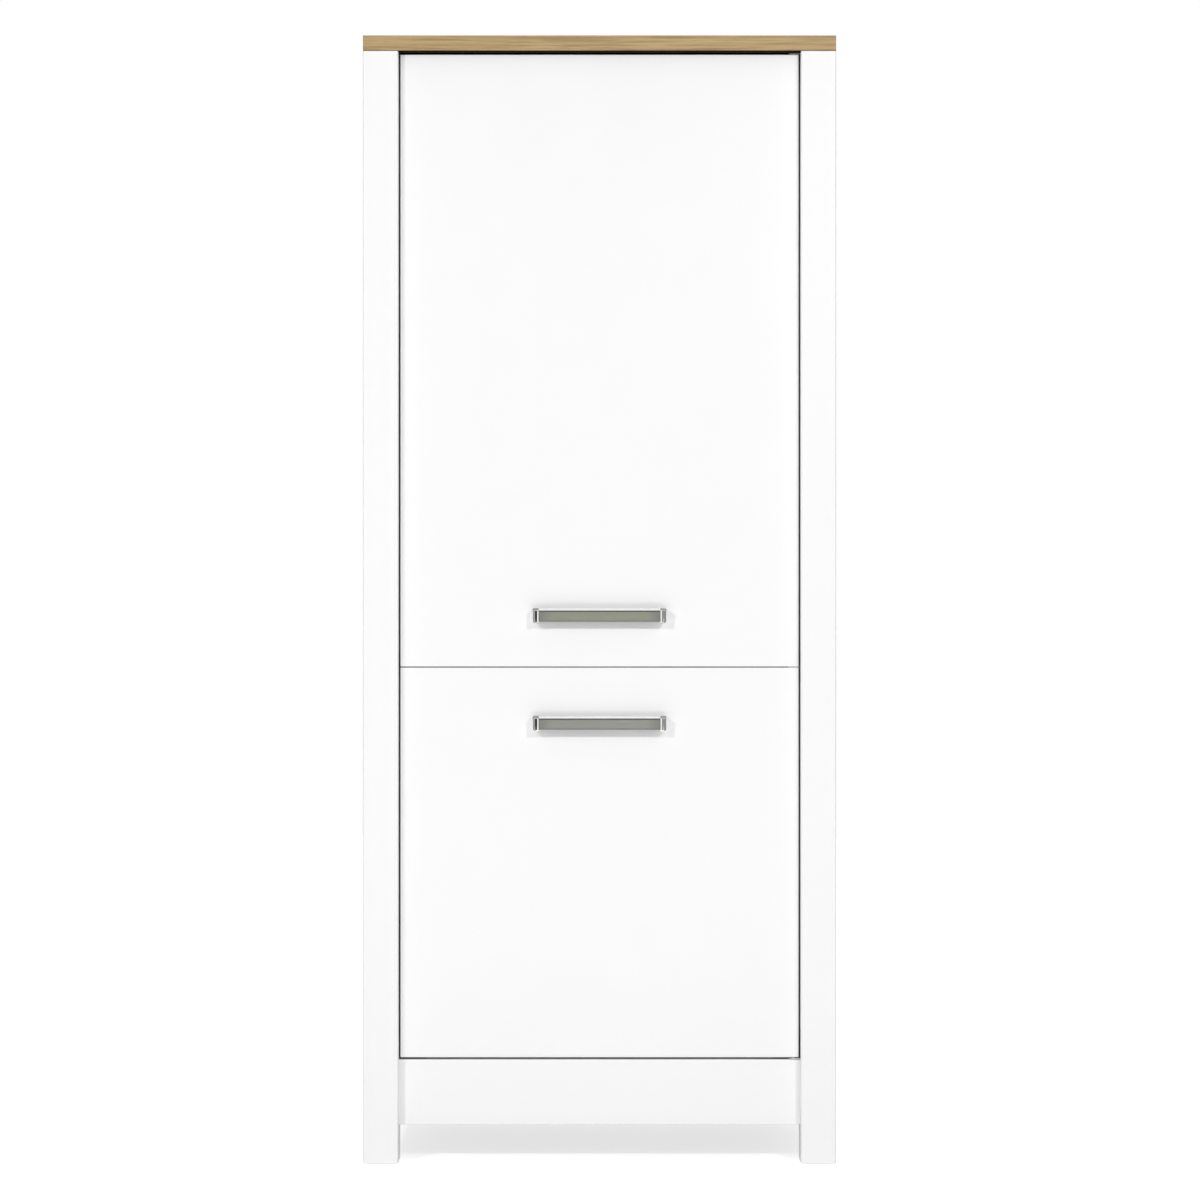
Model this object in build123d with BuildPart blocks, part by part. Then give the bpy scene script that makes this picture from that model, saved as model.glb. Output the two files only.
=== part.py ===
from build123d import *
import os

os.makedirs("parts", exist_ok=True)

# Tall kitchen cabinet for a built-in appliance. Millimetres, X along the front, Y to the back, Z up.
# The origin is on the floor, in the middle of the footprint.

# Overall sizes
overall_width = 700.0
overall_height = 1670.0
body_depth = 600.0

# Boards
top_thick = 23.0
board_thick = 16.0
plinth_thick = 19.0
door_thick = 19.0
back_thick = 3.0
board_ease = 0.6
top_ease = 1.2

# Corner posts and the glides under them
post_wide = 52.0
front_post_deep = 70.0
rear_post_deep = 52.0
post_round = 2.2
glide_high = 2.0
glide_radius = 12.0
nail_radius = 1.2
nail_long = 14.0

# Heights, from the floor
plinth_low = 56.5
plinth_high = 96.4
split_height = 735.5

# Places of the boards
cheek_setback = 4.0
door_recess = 22.0
door_seat = 2.0
door_side_gap = 2.4
door_top_gap = 2.4
door_split_gap = 1.4
door_foot_gap = 3.4
door_round = 1.2
rail_deep = 100.0
niche_rail_high = 80.0
vent_deep = 45.0
vent_margin = 32.0
groove_deep = 6.0
groove_slack = 0.1

# Handles
handle_wide = 199.0
handle_projection = 28.0
handle_spacing = 192.0
handle_end_wide = 10.0
handle_end_high = 21.0
handle_corner_round = 4.0
handle_shoulder_round = 2.0
handle_bar_high = 20.5
handle_bar_thick = 8.0
handle_bar_round = 0.8
handle_lip_round = 3.4
handle_tenon_high = 12.0
handle_tenon_thick = 5.0
handle_socket = 3.0
upper_handle_rise = 77.5
lower_handle_drop = 82.0
handle_screw_radius = 2.0
handle_screw_grip = 12.0
handle_head_radius = 4.0
handle_head_high = 2.6

# Door pivots
pivot_edge = 8.0
pivot_depth = 6.0
pin_radius = 2.5
pin_reach = 12.0
bush_radius = 4.0
bush_long = 14.0
running_gap = 0.05
leaf_thick = 1.6
leaf_wide = 13.0
leaf_long = 18.0
leaf_high = 44.0
leaf_round = 5.0
tongue_thick = 0.9

# Catches, strikes and bumpers
catch_wide = 14.0
catch_deep = 15.0
catch_high = 40.0
catch_offset = 36.0
magnet_wide = 8.0
magnet_deep = 10.0
magnet_high = 26.0
strike_thick = 1.5
strike_wide = 12.0
strike_high = 36.0
bumper_radius = 4.0
bumper_thick = 1.8
bumper_inset = 40.0

# Shelf in the lower cupboard
shelf_setback = 20.0
shelf_end_gap = 1.0
shelf_pin_radius = 2.5
shelf_pin_in = 9.0
shelf_pin_out = 8.0
shelf_pin_inset = 37.0
shelf_pin_pitch = 32.0
shelf_pin_rows = 5

# Fixings
fit_gap = 0.1
overrun = 1.0
dowel_radius = 4.0
dowel_long = 30.0
dowel_in_face = 11.0
dowel_end_gap = 1.0
dowel_inset = 90.0
cam_radius = 7.5
cam_high = 12.5
cam_setback = 34.0
cam_inset = 50.0
cam_bolt_radius = 3.0
cam_bolt_in = 10.0
cam_bolt_past = 2.0
cam_slot_wide = 1.6
cam_slot_deep = 2.0
screw_radius = 2.0
screw_head_radius = 4.0
screw_head_high = 2.4
screw_slot = 1.0
post_screw_long = 40.0
rail_screw_long = 50.0
top_screw_long = 32.0
small_screw_radius = 1.6
small_head_radius = 3.2
small_head_high = 1.5
small_screw_long = 13.0
pivot_screw_long = 25.0
catch_screw_long = 24.0
bracket_thick = 2.0
bracket_long = 30.0
bracket_high = 40.0
wall_bracket_wide = 60.0
wall_bracket_deep = 40.0
wall_bracket_high = 45.0
wall_hole_radius = 3.0
wall_hole_drop = 28.0

# Shares of the length that each row of fixings follows
post_screw_shares = (0.07, 0.30, 0.52, 0.74, 0.93)
cheek_dowel_shares = (0.05, 0.35, 0.65, 0.95)
back_screw_shares = (-0.8, -0.4, 0.0, 0.4, 0.8)
top_screw_shares = (-0.7, 0.0, 0.7)
leaf_screw_shares = (0.25, 0.75)
bracket_screw_share = 0.6
shelf_height_share = 0.48

# Faces that the pieces share
half_width = overall_width / 2
post_inner = half_width - post_wide
side_inner = post_inner - board_thick
post_front = (handle_projection - door_recess - body_depth) / 2
post_back = post_front + body_depth
front_post_back = post_front + front_post_deep
rear_post_front = post_back - rear_post_deep
door_front = post_front + door_recess
door_back = door_front + door_thick
carcass_front = door_back + door_seat
top_low = overall_height - top_thick
rail_low = top_low - board_thick
floor_low = plinth_low + plinth_high
floor_top = floor_low + board_thick
shelf_low = split_height - board_thick / 2
shelf_top = shelf_low + board_thick
back_panel_rear = post_back - vent_deep
back_panel_front = back_panel_rear - back_thick
door_half = post_inner - door_side_gap
upper_door_low = split_height + door_split_gap / 2
upper_door_top = top_low - door_top_gap
lower_door_low = floor_low + door_foot_gap
lower_door_top = split_height - door_split_gap / 2
cheek_outer = half_width - cheek_setback
cheek_inner = cheek_outer - board_thick
niche_middle = (shelf_top + rail_low) / 2
niche_rail_low = niche_middle - niche_rail_high / 2
pivot_x = door_half - pivot_edge
pivot_y = door_front + pivot_depth
upper_handle_height = split_height + upper_handle_rise
lower_handle_height = split_height - lower_handle_drop
inner_shelf_low = floor_top + (shelf_low - floor_top) * shelf_height_share

hands = (-1, 1)
X_OUT, Y_FRONT, Y_BACK, Z_UP, Z_DOWN = (1, 0, 0), (0, -1, 0), (0, 1, 0), (0, 0, 1), (0, 0, -1)


def finish(piece, name):
    """Labels a finished piece and writes it under its own name."""
    piece.part.label = name
    export_step(piece.part, f"parts/{name}.step")


def slab(x_faces, y_faces, z_faces, mode=Mode.ADD):
    """Adds or cuts a square-edged board between three pairs of faces."""
    (x0, x1), (y0, y1), (z0, z1) = x_faces, y_faces, z_faces
    with Locations(((x0 + x1) / 2, (y0 + y1) / 2, (z0 + z1) / 2)):
        Box(x1 - x0, y1 - y0, z1 - z0, mode=mode)


def span(hand, inner, outer):
    """Gives the two X faces of a piece on the left (-1) or the right (1), lowest first."""
    return tuple(sorted((hand * inner, hand * outer)))


def seats(points, direction):
    """Gives a plane at each point that looks along the direction, for Locations."""
    return [Plane(origin=point, z_dir=direction) for point in points]


def drill(points, direction, radius, depth):
    """Bores the part being built from each point, going in along the direction."""
    with Locations(*seats(points, direction)):
        Cylinder(radius, depth, align=(Align.CENTER, Align.CENTER, Align.MIN), mode=Mode.SUBTRACT)


def countersink(points, direction, radius, depth, head_radius, head_high):
    """Bores the part being built for countersunk screws whose heads start at the points."""
    drill(points, direction, radius + fit_gap, depth)
    with Locations(*seats(points, direction)):
        Cone(head_radius + fit_gap, radius + fit_gap, head_high + fit_gap,
             align=(Align.CENTER, Align.CENTER, Align.MIN), mode=Mode.SUBTRACT)


def screws(name, groups):
    """Writes a set of countersunk screws. A group is points, direction, radius, length and head."""
    with BuildPart() as fixings:
        for points, direction, radius, length, head_radius, head_high in groups:
            with Locations(*seats(points, direction)):
                Cylinder(radius, length, align=(Align.CENTER, Align.CENTER, Align.MIN))
                Cone(head_radius, radius, head_high, align=(Align.CENTER, Align.CENTER, Align.MIN))
                Box(head_radius, screw_slot, head_high / 2,
                    align=(Align.CENTER, Align.CENTER, Align.MIN), mode=Mode.SUBTRACT)
                Box(screw_slot, head_radius, head_high / 2,
                    align=(Align.CENTER, Align.CENTER, Align.MIN), mode=Mode.SUBTRACT)
    finish(fixings, name)


# Where the fixings stand
deep_boards = ((floor_low, back_panel_front), (shelf_low, post_back))
cam_rows = [(y, low) for low, rear in deep_boards
            for y in (carcass_front + cam_inset, min(rear, back_panel_front) - cam_inset)]
board_dowels = [(y, low + board_thick / 2) for low, rear in deep_boards
                for y in (carcass_front + dowel_inset, min(rear, back_panel_front) - dowel_inset)]
rail_middles = ((carcass_front + rail_deep / 2, rail_low + board_thick / 2),
                (post_back - rail_deep / 2, rail_low + board_thick / 2))
rail_dowels = [(y + step * rail_deep / 4, z) for y, z in rail_middles for step in hands]
niche_rail_y = post_back - board_thick / 2
niche_rail_dowels = [(niche_rail_y, niche_middle + step * niche_rail_high / 4) for step in hands]
side_dowels = board_dowels + rail_dowels + niche_rail_dowels
rail_screw_rows = list(rail_middles) + [(niche_rail_y, niche_middle)]
side_high = top_low - plinth_low
post_screw_rows = [(y, plinth_low + side_high * share) for share in post_screw_shares
                   for y in ((carcass_front + front_post_back) / 2, post_back - rear_post_deep / 2)]
shelf_pin_rows_y = (carcass_front + shelf_pin_inset, back_panel_front - shelf_pin_inset)
shelf_pin_z = inner_shelf_low - shelf_pin_radius - fit_gap / 2
plinth_middle = (plinth_low + floor_low) / 2
post_centre = half_width - post_wide / 2
cheek_middle = (cheek_outer + cheek_inner) / 2
cheek_dowel_heights = [plinth_low + side_high * share for share in cheek_dowel_shares]
front_post_y = (post_front + front_post_back) / 2
rear_post_y = (rear_post_front + post_back) / 2
catch_heights = (split_height - catch_offset, split_height + catch_offset)
catch_middle = side_inner - catch_wide / 2
dowel_in_end = dowel_long - dowel_in_face + dowel_end_gap
dowel_reach = dowel_in_face - dowel_end_gap


def dowel_row(points, direction, depth):
    """Bores the part being built for dowels that stand at the points."""
    drill(points, direction, dowel_radius + fit_gap, depth)


# Top board, flush with the fronts and the outer sides of the posts.
def post_top_dowels():
    """Two dowels stand in the top of each post, side by side."""
    return [(hand * post_centre + step * post_wide / 4, y, top_low)
            for hand in hands for y in (front_post_y, rear_post_y) for step in hands]


def top_screw_points():
    """The top is drawn down from below, through both top rails."""
    return [(share * side_inner, y, rail_low) for y, _ in rail_middles for share in top_screw_shares]


with BuildPart() as top_board:
    slab((-half_width, half_width), (post_front, post_back), (top_low, overall_height))
    fillet(top_board.edges(), top_ease)
    dowel_row(post_top_dowels(), Z_UP, dowel_in_face)
    drill([(x, y, top_low) for x, y, _ in top_screw_points()], Z_UP,
          screw_radius + fit_gap, top_screw_long - board_thick + dowel_end_gap)
finish(top_board, "top_board")


# Corner posts. The doors hang on the right front post, so its flank is let in for the pivot leaves.
def leaf_levels():
    """Gives each pivot leaf's underside and the heights between which it is let into the post."""
    half_leaf = leaf_high / 2
    foot = lower_door_low - (door_foot_gap + tongue_thick) / 2
    middle = split_height - tongue_thick / 2
    head = upper_door_top + (door_top_gap - tongue_thick) / 2
    return ((foot, foot, foot + leaf_high), (middle, middle - half_leaf, middle + half_leaf),
            (head, head + tongue_thick - leaf_high, head + tongue_thick))


def leaf_screw_points():
    """Each leaf has two screws, spaced along it and clear of its bend."""
    return [(post_inner, pivot_y, low + (high - low) * share)
            for _, low, high in leaf_levels() for share in leaf_screw_shares]


for side_name, hand in (("left", -1), ("right", 1)):
    outward = (hand, 0, 0)
    for place, y_faces, y_middle in (("front", (post_front, front_post_back), front_post_y),
                                     ("rear", (rear_post_front, post_back), rear_post_y)):
        with BuildPart() as post:
            slab(span(hand, post_inner, half_width), y_faces, (glide_high, top_low))
            fillet(post.edges().filter_by(Axis.Z), post_round)
            dowel_row([(x, y, z) for x, y, z in post_top_dowels() if x * hand > 0 and y == y_middle],
                      Z_DOWN, dowel_in_end)
            drill([(hand * post_centre, y_middle, glide_high)], Z_UP, nail_radius + fit_gap,
                  nail_long + dowel_end_gap)
            drill([(hand * post_inner, y, z) for y, z in post_screw_rows if y_faces[0] < y < y_faces[1]],
                  outward, screw_radius + fit_gap, post_screw_long - board_thick + dowel_end_gap)
            cheek_face = y_faces[1] if place == "front" else y_faces[0]
            dowel_row([(hand * cheek_middle, cheek_face, z) for z in cheek_dowel_heights],
                      Y_FRONT if place == "front" else Y_BACK, dowel_in_face)
            if place == "front" and side_name == "right":
                for _, low, high in leaf_levels():
                    slab((post_inner - overrun, post_inner + leaf_thick + fit_gap),
                         (pivot_y - leaf_wide / 2 - fit_gap, pivot_y + leaf_wide / 2 + fit_gap),
                         (low - fit_gap, high + fit_gap), Mode.SUBTRACT)
                drill(leaf_screw_points(), X_OUT, small_screw_radius + fit_gap,
                      pivot_screw_long + dowel_end_gap)
        finish(post, f"{side_name}_{place}_post")

with BuildPart() as post_glides:
    glide_points = [(hand * post_centre, y, 0) for hand in hands for y in (front_post_y, rear_post_y)]
    with Locations(*seats(glide_points, Z_UP)):
        Cylinder(glide_radius, glide_high, align=(Align.CENTER, Align.CENTER, Align.MIN))
        Cylinder(nail_radius, glide_high + nail_long, align=(Align.CENTER, Align.CENTER, Align.MIN))
    chamfer(post_glides.faces().filter_by(Axis.Z).group_by(Axis.Z)[0].edges(), glide_high / 3)
finish(post_glides, "post_glides")


# Cheeks, the outer side boards, dowelled between the front and the rear post.
for side_name, hand in (("left", -1), ("right", 1)):
    with BuildPart() as cheek:
        slab(span(hand, cheek_inner, cheek_outer), (front_post_back, rear_post_front),
             (plinth_low, top_low))
        fillet(cheek.edges().filter_by(Axis.Y), board_ease)
        for face, direction in ((front_post_back, Y_BACK), (rear_post_front, Y_FRONT)):
            dowel_row([(hand * cheek_middle, face, z) for z in cheek_dowel_heights],
                      direction, dowel_in_end)
    finish(cheek, f"{side_name}_cheek_panel")


# Carcass sides. They stand between the posts and take every board of the inside.
def plinth_bracket_screws(hand):
    """Screw points of one plinth bracket: first those in the plinth, then those in the side."""
    heights = [plinth_middle + step * bracket_high / 4 for step in hands]
    reach = bracket_long * bracket_screw_share
    in_plinth = [(hand * (side_inner - reach), carcass_front + bracket_thick, z) for z in heights]
    in_side = [(hand * (side_inner - bracket_thick), carcass_front + reach, z) for z in heights]
    return in_plinth, in_side


def catch_screw_points():
    """Each magnetic catch has a screw above and one below its magnet."""
    rise = (catch_high + magnet_high) / 4
    return [(catch_wide - side_inner, carcass_front + catch_deep / 2, z + step * rise)
            for z in catch_heights for step in hands]


for side_name, hand in (("left", -1), ("right", 1)):
    outward = (hand, 0, 0)
    with BuildPart() as side:
        slab(span(hand, side_inner, post_inner), (carcass_front, post_back), (plinth_low, top_low))
        fillet(side.edges().filter_by(Axis.Z), board_ease)
        slab(span(hand, side_inner - overrun, side_inner + groove_deep + groove_slack),
             (back_panel_front - groove_slack, back_panel_rear + groove_slack),
             (floor_low - groove_slack, shelf_low + groove_deep + groove_slack), Mode.SUBTRACT)
        dowel_row([(hand * side_inner, y, z) for y, z in side_dowels], outward, dowel_in_face)
        drill([(hand * side_inner, y, low + board_thick / 2) for y, low in cam_rows], outward,
              cam_bolt_radius + fit_gap, cam_bolt_in + dowel_end_gap)
        countersink([(hand * side_inner, y, z) for y, z in post_screw_rows], outward,
                    screw_radius, board_thick + overrun, screw_head_radius, screw_head_high)
        countersink([(hand * post_inner, y, z) for y, z in rail_screw_rows], (-hand, 0, 0),
                    screw_radius, board_thick + overrun, screw_head_radius, screw_head_high)
        drill([(hand * side_inner, y, shelf_pin_z + shelf_pin_pitch * (step - shelf_pin_rows // 2))
               for y in shelf_pin_rows_y for step in range(shelf_pin_rows)], outward,
              shelf_pin_radius + fit_gap / 2, shelf_pin_in + dowel_end_gap)
        drill([(hand * side_inner, y, z) for _, y, z in plinth_bracket_screws(hand)[1]], outward,
              small_screw_radius + fit_gap, small_screw_long)
        if side_name == "left":
            drill([(hand * side_inner, y, z) for _, y, z in catch_screw_points()], outward,
                  small_screw_radius + fit_gap, catch_screw_long - catch_wide + dowel_end_gap)
    finish(side, f"{side_name}_carcass_side")


# Boards between the sides: the floor of the cupboard and the shelf that carries the appliance.
def end_bores(low, rows, dowels):
    """Bores both ends of a board between the sides for its cam bolts, cam locks and dowels."""
    for hand in hands:
        inward = (-hand, 0, 0)
        drill([(hand * side_inner, y, low + board_thick / 2) for y in rows], inward,
              cam_bolt_radius + fit_gap, cam_setback)
        drill([(hand * (side_inner - cam_setback), y, low) for y in rows], Z_UP,
              cam_radius + fit_gap, cam_high + fit_gap)
        dowel_row([(hand * side_inner, y, z) for y, z in dowels], inward, dowel_in_end)


def back_screw_points():
    """Screws that hold the back board to the rear edge of the cupboard's floor."""
    return [(share * side_inner, back_panel_rear, floor_low + board_thick / 2)
            for share in back_screw_shares]


with BuildPart() as carcass_bottom:
    slab((-side_inner, side_inner), (carcass_front, back_panel_front), (floor_low, floor_top))
    fillet(carcass_bottom.edges().filter_by(Axis.X), board_ease)
    end_bores(floor_low, [y for y, low in cam_rows if low == floor_low],
              [(y, z) for y, z in board_dowels if z < floor_top])
    drill([(x, back_panel_front, z) for x, _, z in back_screw_points()], Y_FRONT,
          small_screw_radius + fit_gap, small_screw_long)
finish(carcass_bottom, "carcass_bottom")

with BuildPart() as appliance_shelf:
    slab((-side_inner, side_inner), (carcass_front, post_back), (shelf_low, shelf_top))
    fillet(appliance_shelf.edges().filter_by(Axis.X), board_ease)
    slab((vent_margin - side_inner, side_inner - vent_margin), (back_panel_rear, post_back + overrun),
         (shelf_low - overrun, shelf_top + overrun), Mode.SUBTRACT)
    slab((-side_inner - overrun, side_inner + overrun),
         (back_panel_front - groove_slack, back_panel_rear + groove_slack),
         (shelf_low - overrun, shelf_low + groove_deep + groove_slack), Mode.SUBTRACT)
    end_bores(shelf_low, [y for y, low in cam_rows if low == shelf_low],
              [(y, z) for y, z in board_dowels if z > shelf_low])
finish(appliance_shelf, "appliance_shelf")


# Rails that tie the sides together: two flat ones under the top, an upright one behind the niche.
for name, y_middle in (("front_top_rail", rail_middles[0][0]), ("rear_top_rail", rail_middles[1][0])):
    with BuildPart() as rail:
        slab((-side_inner, side_inner), (y_middle - rail_deep / 2, y_middle + rail_deep / 2),
             (rail_low, top_low))
        fillet(rail.edges().filter_by(Axis.X), board_ease)
        for hand in hands:
            dowel_row([(hand * side_inner, y, z) for y, z in rail_dowels
                       if abs(y - y_middle) < rail_deep / 2], (-hand, 0, 0), dowel_in_end)
            drill([(hand * side_inner, y_middle, rail_low + board_thick / 2)], (-hand, 0, 0),
                  screw_radius + fit_gap, rail_screw_long - board_thick + dowel_end_gap)
        countersink([(x, y, z) for x, y, z in top_screw_points() if y == y_middle], Z_UP,
                    screw_radius, board_thick + overrun, screw_head_radius, screw_head_high)
        if name == "rear_top_rail":
            wall_screw_y = post_back - wall_bracket_deep / 2 - bracket_thick
            wall_screw_points = [(step * wall_bracket_wide / 4, wall_screw_y, rail_low - bracket_thick)
                                 for step in hands]
            drill([(x, y, rail_low) for x, y, _ in wall_screw_points], Z_UP,
                  small_screw_radius + fit_gap, small_screw_long)
    finish(rail, name)

with BuildPart() as niche_rear_rail:
    slab((-side_inner, side_inner), (post_back - board_thick, post_back),
         (niche_rail_low, niche_rail_low + niche_rail_high))
    fillet(niche_rear_rail.edges().filter_by(Axis.X), board_ease)
    for hand in hands:
        dowel_row([(hand * side_inner, y, z) for y, z in niche_rail_dowels], (-hand, 0, 0), dowel_in_end)
        drill([(hand * side_inner, niche_rail_y, niche_middle)], (-hand, 0, 0),
              screw_radius + fit_gap, rail_screw_long - board_thick + dowel_end_gap)
finish(niche_rear_rail, "niche_rear_rail")

# Thin back of the cupboard, let into the sides and the shelf. The air shaft rises behind it.
with BuildPart() as lower_back_panel:
    slab((-side_inner - groove_deep, side_inner + groove_deep), (back_panel_front, back_panel_rear),
         (floor_low, shelf_low + groove_deep))
    countersink(back_screw_points(), Y_FRONT, small_screw_radius, back_thick + overrun,
                small_head_radius, small_head_high)
finish(lower_back_panel, "lower_back_panel")

# Plinth board, between the posts, held to the sides by two steel angles.
with BuildPart() as plinth_board:
    slab((-post_inner, post_inner), (carcass_front - plinth_thick, carcass_front), (plinth_low, floor_low))
    fillet(plinth_board.edges().filter_by(Axis.X), board_ease)
    for hand in hands:
        drill([(x, carcass_front, z) for x, _, z in plinth_bracket_screws(hand)[0]], Y_FRONT,
              small_screw_radius + fit_gap, small_screw_long)
finish(plinth_board, "plinth_board")

with BuildPart() as plinth_brackets:
    bracket_z = (plinth_middle - bracket_high / 2, plinth_middle + bracket_high / 2)
    for hand in hands:
        slab(span(hand, side_inner - bracket_long, side_inner),
             (carcass_front, carcass_front + bracket_thick), bracket_z)
        slab(span(hand, side_inner - bracket_thick, side_inner),
             (carcass_front, carcass_front + bracket_long), bracket_z)
    for hand in hands:
        in_plinth, in_side = plinth_bracket_screws(hand)
        countersink(in_plinth, Y_FRONT, small_screw_radius, bracket_thick + overrun,
                    small_head_radius, small_head_high)
        countersink(in_side, (hand, 0, 0), small_screw_radius, bracket_thick + overrun,
                    small_head_radius, small_head_high)
finish(plinth_brackets, "plinth_brackets")

# Loose shelf of the cupboard and the four pins that carry it.
with BuildPart() as adjustable_shelf:
    slab((shelf_end_gap - side_inner, side_inner - shelf_end_gap),
         (carcass_front + shelf_setback, back_panel_front - shelf_end_gap),
         (inner_shelf_low, inner_shelf_low + board_thick))
    fillet(adjustable_shelf.edges().filter_by(Axis.X), board_ease)
finish(adjustable_shelf, "adjustable_shelf")

with BuildPart() as shelf_pins:
    for hand in hands:
        pin_points = [(hand * (side_inner + shelf_pin_in), y, shelf_pin_z) for y in shelf_pin_rows_y]
        with Locations(*seats(pin_points, (-hand, 0, 0))):
            Cylinder(shelf_pin_radius, shelf_pin_in + shelf_pin_out,
                     align=(Align.CENTER, Align.CENTER, Align.MIN))
finish(shelf_pins, "shelf_pins")


# Doors: one painted board each, all edges rounded. Both turn on pins near their right front edge.
def handle_screw_points(height):
    """The two screws of a handle, with their heads let into the back of the door."""
    return [(step * handle_spacing / 2, door_back, height) for step in hands]


def strike_middle(height):
    """Middle of a strike plate on the back of a door."""
    return (-catch_middle, door_back, height)


def strike_screw_points(height):
    """One screw near each end of a strike plate."""
    x, _, z = strike_middle(height)
    return [(x, door_back + strike_thick, z + step * strike_high / 3) for step in hands]


door_levels = {"lower": (lower_door_low, lower_door_top, lower_handle_height, catch_heights[0]),
               "upper": (upper_door_low, upper_door_top, upper_handle_height, catch_heights[1])}

for level, (low, high, handle_height, catch_height) in door_levels.items():
    with BuildPart() as door:
        slab((-door_half, door_half), (door_front, door_back), (low, high))
        fillet(door.edges(), door_round)
        for z, direction in ((low, Z_UP), (high, Z_DOWN)):
            drill([(pivot_x, pivot_y, z)], direction, bush_radius + running_gap, bush_long + dowel_end_gap)
        for radius, depth in ((handle_screw_radius, door_thick + overrun),
                              (handle_head_radius, handle_head_high + fit_gap)):
            drill(handle_screw_points(handle_height), Y_FRONT, radius + fit_gap, depth)
        drill([(x, door_back, z) for x, _, z in strike_screw_points(catch_height)], Y_FRONT,
              small_screw_radius + fit_gap, small_screw_long)
    finish(door, f"{level}_door")

    with BuildPart() as bushes:
        for z, direction in ((low, Z_UP), (high, Z_DOWN)):
            with Locations(*seats([(pivot_x, pivot_y, z)], direction)):
                Cylinder(bush_radius, bush_long, align=(Align.CENTER, Align.CENTER, Align.MIN))
                Cylinder(pin_radius + running_gap, bush_long, mode=Mode.SUBTRACT,
                         align=(Align.CENTER, Align.CENTER, Align.MIN))
    finish(bushes, f"{level}_pivot_bushes")

    with BuildPart() as strike:
        x, _, z = strike_middle(catch_height)
        slab((x - strike_wide / 2, x + strike_wide / 2), (door_back, door_back + strike_thick),
             (z - strike_high / 2, z + strike_high / 2))
        fillet(strike.edges().filter_by(Axis.Y), strike_wide / 5)
        countersink(strike_screw_points(catch_height), Y_FRONT, small_screw_radius,
                    strike_thick + overrun, small_head_radius, small_head_high - fit_gap)
    finish(strike, f"{level}_strike_plate")
    screws(f"{level}_strike_screws", [(strike_screw_points(catch_height), Y_FRONT, small_screw_radius,
                                       small_screw_long, small_head_radius, small_head_high - fit_gap)])

    with BuildPart() as bumpers:
        bumper_x = -(side_inner + post_inner) / 2
        bumper_points = [(bumper_x, door_back, z) for z in (low + bumper_inset, high - bumper_inset)]
        with Locations(*seats(bumper_points, Y_BACK)):
            Cylinder(bumper_radius, bumper_thick, align=(Align.CENTER, Align.CENTER, Align.MIN))
        fillet(bumpers.faces().filter_by(Axis.Y).group_by(Axis.Y)[-1].edges(), bumper_thick / 2)
    finish(bumpers, f"{level}_door_bumpers")

    # Handle: a flat bar whose tenons sit in two cast end brackets, screwed on through the door.
    bar_front = door_front - handle_projection
    bar_back = bar_front + handle_bar_thick
    bar_middle = (bar_front + bar_back) / 2
    bar_half = handle_wide / 2 - handle_end_wide
    tenon_half = bar_half + handle_socket
    handle_low = handle_height - handle_end_high / 2
    with BuildPart() as handle_bar:
        slab((-bar_half, bar_half), (bar_front, bar_back), (handle_low, handle_low + handle_bar_high))
        fillet(handle_bar.edges().filter_by(Axis.X).group_by(Axis.Z)[-1].sort_by(Axis.Y)[0],
               handle_lip_round)
        fillet(handle_bar.edges().filter_by(Axis.X).group_by(Axis.Z)[0], handle_bar_round)
        slab((-tenon_half, tenon_half),
             (bar_middle - handle_tenon_thick / 2, bar_middle + handle_tenon_thick / 2),
             (handle_height - handle_tenon_high / 2, handle_height + handle_tenon_high / 2))
    finish(handle_bar, f"{level}_handle_bar")

    with BuildPart() as handle_ends:
        for hand in hands:
            slab(span(hand, bar_half, handle_wide / 2), (bar_front, door_front),
                 (handle_low, handle_low + handle_end_high))
        low_edges = handle_ends.edges().filter_by(Axis.Y).group_by(Axis.Z)[0].sort_by(Axis.X)
        fillet((low_edges[0], low_edges[-1]), handle_corner_round)
        fillet(handle_ends.edges().filter_by(Axis.X).group_by(Axis.Z)[-1].group_by(Axis.Y)[0],
               handle_lip_round)
        top_edges = handle_ends.edges().filter_by(Axis.Y).group_by(Axis.Z)[-1].sort_by(Axis.X)
        fillet((top_edges[0], top_edges[-1]), handle_shoulder_round)
        tenon_gap = fit_gap / 2
        slab((-tenon_half - tenon_gap, tenon_half + tenon_gap),
             (bar_middle - handle_tenon_thick / 2 - tenon_gap,
              bar_middle + handle_tenon_thick / 2 + tenon_gap),
             (handle_height - handle_tenon_high / 2 - tenon_gap,
              handle_height + handle_tenon_high / 2 + tenon_gap), Mode.SUBTRACT)
        drill([(step * handle_spacing / 2, door_front, handle_height) for step in hands], Y_FRONT,
              handle_screw_radius + fit_gap, handle_screw_grip + fit_gap)
    finish(handle_ends, f"{level}_handle_ends")

    with BuildPart() as handle_screws:
        with Locations(*seats(handle_screw_points(handle_height), Y_FRONT)):
            Cylinder(handle_screw_radius, door_thick + handle_screw_grip,
                     align=(Align.CENTER, Align.CENTER, Align.MIN))
            Cylinder(handle_head_radius, handle_head_high, align=(Align.CENTER, Align.CENTER, Align.MIN))
            for wide, tall in ((handle_head_radius, screw_slot), (screw_slot, handle_head_radius)):
                Box(wide, tall, handle_head_high / 2, mode=Mode.SUBTRACT,
                    align=(Align.CENTER, Align.CENTER, Align.MIN))
    finish(handle_screws, f"{level}_handle_screws")


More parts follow.
